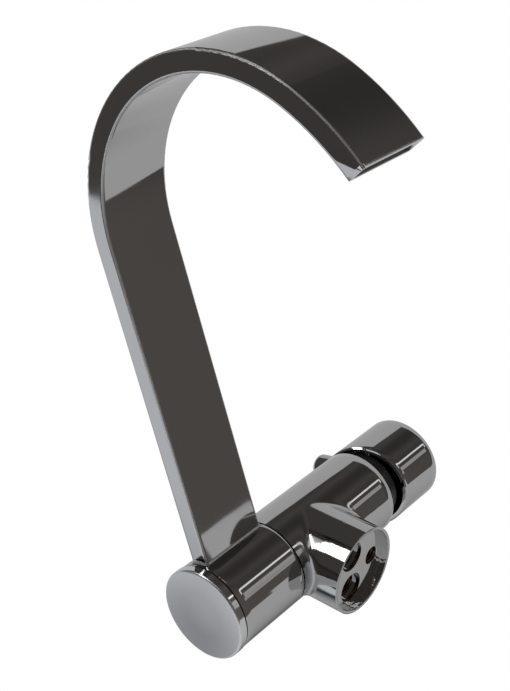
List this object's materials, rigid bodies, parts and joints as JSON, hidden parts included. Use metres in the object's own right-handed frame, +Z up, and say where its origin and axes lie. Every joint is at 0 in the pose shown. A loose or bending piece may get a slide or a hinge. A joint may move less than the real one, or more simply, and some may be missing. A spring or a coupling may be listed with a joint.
{
  "type": "folding caravan tap",
  "caption": "Single-lever mixer tap with a horizontal barrel and a flat swan-neck spout that folds down about the barrel's axis to lie against the worktop.",
  "frame": {"origin": "centre of the base's lower rim, on the worktop", "axes": "+Z up from the worktop through the base, +X along the barrel from the end cap to the handle, -Y towards the sink, where the spout reaches"},
  "size_m": [0.1286, 0.2255, 0.1096],
  "materials": {
    "chrome_plate": "polished",
    "satin_chrome": "satin",
    "black_plastic": "matte",
    "grey_plastic": "matte",
    "white_plastic": "matte",
    "ceramic": "lapped",
    "seal_rubber": "matte",
    "brass": "machined",
    "stainless_steel": "satin"
  },
  "bodies": {
    "mixer": {"mixer_body": "chrome_plate", "stop_pin": "stainless_steel", "journal_seals": "seal_rubber", "thrust_washer": "white_plastic", "outer_thrust_washer": "white_plastic", "retaining_washer": "stainless_steel", "retaining_screw": "stainless_steel", "port_seals": "seal_rubber", "cartridge_base": "grey_plastic", "fixed_disc": "ceramic", "cartridge_housing": "grey_plastic", "cartridge_nut": "brass", "cover_ring": "black_plastic"},
    "spout": {"spout_hub": "chrome_plate", "spout_arm": "chrome_plate", "outlet_insert": "grey_plastic", "end_cap": "satin_chrome", "cap_ring": "seal_rubber"},
    "rotor": {"cartridge_rotor": "white_plastic", "rotor_seal": "seal_rubber", "pivot_pin": "stainless_steel"},
    "handle": {"cartridge_spindle": "brass", "handle_knob": "chrome_plate", "handle_lever": "chrome_plate"},
    "disc": {"moving_disc": "ceramic", "disc_carrier": "white_plastic"}
  },
  "joints": [
    {"name": "spout_fold", "type": "hinge", "parent": "mixer", "child": "spout", "pos_m": [-0.0362, 0, 0.0307], "axis": [1, 0, 0], "range_deg": [-71.2, 18.8]},
    {"name": "handle_turn", "type": "hinge", "parent": "mixer", "child": "rotor", "pos_m": [0.041, 0, 0.0307], "axis": [1, 0, 0], "range_deg": [-31.5, 58.5]},
    {"name": "handle_lift", "type": "hinge", "parent": "rotor", "child": "handle", "pos_m": [0.041, 0, 0.0307], "axis": [0, 0.9724, -0.2334], "range_deg": [0, 25]},
    {"name": "disc_slide", "type": "slide", "parent": "rotor", "child": "disc", "axis": [0, 0.2334, 0.9724], "range_m": [0, 0.0035]}
  ],
  "couplings": [
    {"joint": "disc_slide", "follows": "handle_lift", "m_per_rad": 0.0079}
  ]
}
